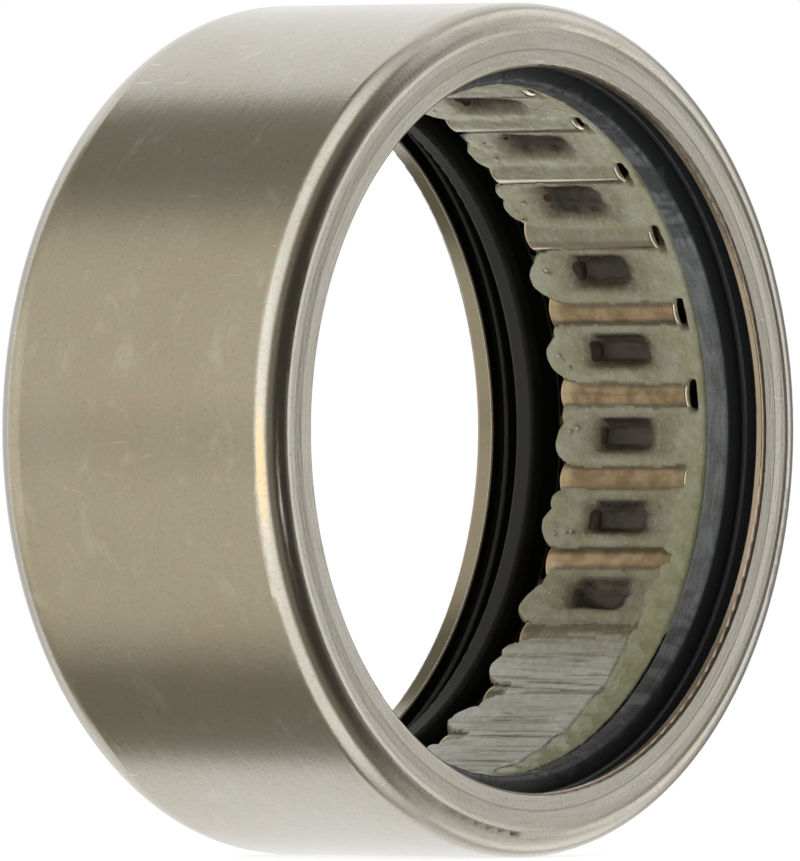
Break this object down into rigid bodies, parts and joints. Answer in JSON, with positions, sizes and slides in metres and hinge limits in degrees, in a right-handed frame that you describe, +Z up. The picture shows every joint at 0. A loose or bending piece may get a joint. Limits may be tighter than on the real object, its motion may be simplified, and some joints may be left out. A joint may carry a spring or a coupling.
{
  "type": "needle roller bearing",
  "caption": "Sealed drawn-cup needle roller bearing: thin steel shell with turned-in lips, rubber lip seals and caged needle rollers around an open bore.",
  "frame": {"origin": "middle of the bearing: on its axis, halfway between the front and back faces", "axes": "+Y along the bearing axis, from the front (rolled-in lip, near side of the picture) to the back (drawn bottom); +Z up; +X to the right seen from the front"},
  "size_m": [0.037, 0.016, 0.037],
  "materials": {
    "cup_steel": "satin, tumbled case-hardened strip",
    "seal_rubber": "moulded, slightly glossy",
    "cage_steel": "dull pressed strip, under grease",
    "roller_steel": "ground and lapped"
  },
  "bodies": {
    "cup": {"drawn_cup": "cup_steel", "front_seal": "seal_rubber", "back_seal": "seal_rubber"},
    "cage": {"cage": "cage_steel"},
    "roller_01": {"roller_01": "roller_steel"},
    "roller_02": {"roller_02": "roller_steel"},
    "roller_03": {"roller_03": "roller_steel"},
    "roller_04": {"roller_04": "roller_steel"},
    "roller_05": {"roller_05": "roller_steel"},
    "roller_06": {"roller_06": "roller_steel"},
    "roller_07": {"roller_07": "roller_steel"},
    "roller_08": {"roller_08": "roller_steel"},
    "roller_09": {"roller_09": "roller_steel"},
    "roller_10": {"roller_10": "roller_steel"},
    "roller_11": {"roller_11": "roller_steel"},
    "roller_12": {"roller_12": "roller_steel"},
    "roller_13": {"roller_13": "roller_steel"},
    "roller_14": {"roller_14": "roller_steel"},
    "roller_15": {"roller_15": "roller_steel"},
    "roller_16": {"roller_16": "roller_steel"},
    "roller_17": {"roller_17": "roller_steel"},
    "roller_18": {"roller_18": "roller_steel"},
    "roller_19": {"roller_19": "roller_steel"},
    "roller_20": {"roller_20": "roller_steel"},
    "roller_21": {"roller_21": "roller_steel"},
    "roller_22": {"roller_22": "roller_steel"},
    "roller_23": {"roller_23": "roller_steel"},
    "roller_24": {"roller_24": "roller_steel"},
    "roller_25": {"roller_25": "roller_steel"},
    "roller_26": {"roller_26": "roller_steel"}
  },
  "joints": [
    {"name": "cage_spin", "type": "hinge", "parent": "cup", "child": "cage", "pos_m": [0, 0, 0], "axis": [0, 1, 0], "continuous": true},
    {"name": "roller_01_spin", "type": "hinge", "parent": "cage", "child": "roller_01", "pos_m": [0.01619, -0.00072, 0.00164], "axis": [0, 1, 0], "continuous": true},
    {"name": "roller_02_spin", "type": "hinge", "parent": "cage", "child": "roller_02", "pos_m": [0.01532, -0.00072, 0.00547], "axis": [0, 1, 0], "continuous": true},
    {"name": "roller_03_spin", "type": "hinge", "parent": "cage", "child": "roller_03", "pos_m": [0.01357, -0.00072, 0.00898], "axis": [0, 1, 0], "continuous": true},
    {"name": "roller_04_spin", "type": "hinge", "parent": "cage", "child": "roller_04", "pos_m": [0.01103, -0.00072, 0.01196], "axis": [0, 1, 0], "continuous": true},
    {"name": "roller_05_spin", "type": "hinge", "parent": "cage", "child": "roller_05", "pos_m": [0.00784, -0.00072, 0.01426], "axis": [0, 1, 0], "continuous": true},
    {"name": "roller_06_spin", "type": "hinge", "parent": "cage", "child": "roller_06", "pos_m": [0.0042, -0.00072, 0.01572], "axis": [0, 1, 0], "continuous": true},
    {"name": "roller_07_spin", "type": "hinge", "parent": "cage", "child": "roller_07", "pos_m": [0.00032, -0.00072, 0.01627], "axis": [0, 1, 0], "continuous": true},
    {"name": "roller_08_spin", "type": "hinge", "parent": "cage", "child": "roller_08", "pos_m": [-0.00358, -0.00072, 0.01587], "axis": [0, 1, 0], "continuous": true},
    {"name": "roller_09_spin", "type": "hinge", "parent": "cage", "child": "roller_09", "pos_m": [-0.00728, -0.00072, 0.01455], "axis": [0, 1, 0], "continuous": true},
    {"name": "roller_10_spin", "type": "hinge", "parent": "cage", "child": "roller_10", "pos_m": [-0.01055, -0.00072, 0.01239], "axis": [0, 1, 0], "continuous": true},
    {"name": "roller_11_spin", "type": "hinge", "parent": "cage", "child": "roller_11", "pos_m": [-0.01321, -0.00072, 0.0095], "axis": [0, 1, 0], "continuous": true},
    {"name": "roller_12_spin", "type": "hinge", "parent": "cage", "child": "roller_12", "pos_m": [-0.0151, -0.00072, 0.00607], "axis": [0, 1, 0], "continuous": true},
    {"name": "roller_13_spin", "type": "hinge", "parent": "cage", "child": "roller_13", "pos_m": [-0.01611, -0.00072, 0.00228], "axis": [0, 1, 0], "continuous": true},
    {"name": "roller_14_spin", "type": "hinge", "parent": "cage", "child": "roller_14", "pos_m": [-0.01619, -0.00072, -0.00164], "axis": [0, 1, 0], "continuous": true},
    {"name": "roller_15_spin", "type": "hinge", "parent": "cage", "child": "roller_15", "pos_m": [-0.01532, -0.00072, -0.00547], "axis": [0, 1, 0], "continuous": true},
    {"name": "roller_16_spin", "type": "hinge", "parent": "cage", "child": "roller_16", "pos_m": [-0.01357, -0.00072, -0.00898], "axis": [0, 1, 0], "continuous": true},
    {"name": "roller_17_spin", "type": "hinge", "parent": "cage", "child": "roller_17", "pos_m": [-0.01103, -0.00072, -0.01196], "axis": [0, 1, 0], "continuous": true},
    {"name": "roller_18_spin", "type": "hinge", "parent": "cage", "child": "roller_18", "pos_m": [-0.00784, -0.00072, -0.01426], "axis": [0, 1, 0], "continuous": true},
    {"name": "roller_19_spin", "type": "hinge", "parent": "cage", "child": "roller_19", "pos_m": [-0.0042, -0.00072, -0.01572], "axis": [0, 1, 0], "continuous": true},
    {"name": "roller_20_spin", "type": "hinge", "parent": "cage", "child": "roller_20", "pos_m": [-0.00032, -0.00072, -0.01627], "axis": [0, 1, 0], "continuous": true},
    {"name": "roller_21_spin", "type": "hinge", "parent": "cage", "child": "roller_21", "pos_m": [0.00358, -0.00072, -0.01587], "axis": [0, 1, 0], "continuous": true},
    {"name": "roller_22_spin", "type": "hinge", "parent": "cage", "child": "roller_22", "pos_m": [0.00728, -0.00072, -0.01455], "axis": [0, 1, 0], "continuous": true},
    {"name": "roller_23_spin", "type": "hinge", "parent": "cage", "child": "roller_23", "pos_m": [0.01055, -0.00072, -0.01239], "axis": [0, 1, 0], "continuous": true},
    {"name": "roller_24_spin", "type": "hinge", "parent": "cage", "child": "roller_24", "pos_m": [0.01321, -0.00072, -0.0095], "axis": [0, 1, 0], "continuous": true},
    {"name": "roller_25_spin", "type": "hinge", "parent": "cage", "child": "roller_25", "pos_m": [0.0151, -0.00072, -0.00607], "axis": [0, 1, 0], "continuous": true},
    {"name": "roller_26_spin", "type": "hinge", "parent": "cage", "child": "roller_26", "pos_m": [0.01611, -0.00072, -0.00228], "axis": [0, 1, 0], "continuous": true}
  ],
  "couplings": [
    {"joint": "roller_01_spin", "follows": "cage_spin", "ratio": -14.032},
    {"joint": "roller_02_spin", "follows": "cage_spin", "ratio": -14.032},
    {"joint": "roller_03_spin", "follows": "cage_spin", "ratio": -14.032},
    {"joint": "roller_04_spin", "follows": "cage_spin", "ratio": -14.032},
    {"joint": "roller_05_spin", "follows": "cage_spin", "ratio": -14.032},
    {"joint": "roller_06_spin", "follows": "cage_spin", "ratio": -14.032},
    {"joint": "roller_07_spin", "follows": "cage_spin", "ratio": -14.032},
    {"joint": "roller_08_spin", "follows": "cage_spin", "ratio": -14.032},
    {"joint": "roller_09_spin", "follows": "cage_spin", "ratio": -14.032},
    {"joint": "roller_10_spin", "follows": "cage_spin", "ratio": -14.032},
    {"joint": "roller_11_spin", "follows": "cage_spin", "ratio": -14.032},
    {"joint": "roller_12_spin", "follows": "cage_spin", "ratio": -14.032},
    {"joint": "roller_13_spin", "follows": "cage_spin", "ratio": -14.032},
    {"joint": "roller_14_spin", "follows": "cage_spin", "ratio": -14.032},
    {"joint": "roller_15_spin", "follows": "cage_spin", "ratio": -14.032},
    {"joint": "roller_16_spin", "follows": "cage_spin", "ratio": -14.032},
    {"joint": "roller_17_spin", "follows": "cage_spin", "ratio": -14.032},
    {"joint": "roller_18_spin", "follows": "cage_spin", "ratio": -14.032},
    {"joint": "roller_19_spin", "follows": "cage_spin", "ratio": -14.032},
    {"joint": "roller_20_spin", "follows": "cage_spin", "ratio": -14.032},
    {"joint": "roller_21_spin", "follows": "cage_spin", "ratio": -14.032},
    {"joint": "roller_22_spin", "follows": "cage_spin", "ratio": -14.032},
    {"joint": "roller_23_spin", "follows": "cage_spin", "ratio": -14.032},
    {"joint": "roller_24_spin", "follows": "cage_spin", "ratio": -14.032},
    {"joint": "roller_25_spin", "follows": "cage_spin", "ratio": -14.032},
    {"joint": "roller_26_spin", "follows": "cage_spin", "ratio": -14.032}
  ]
}
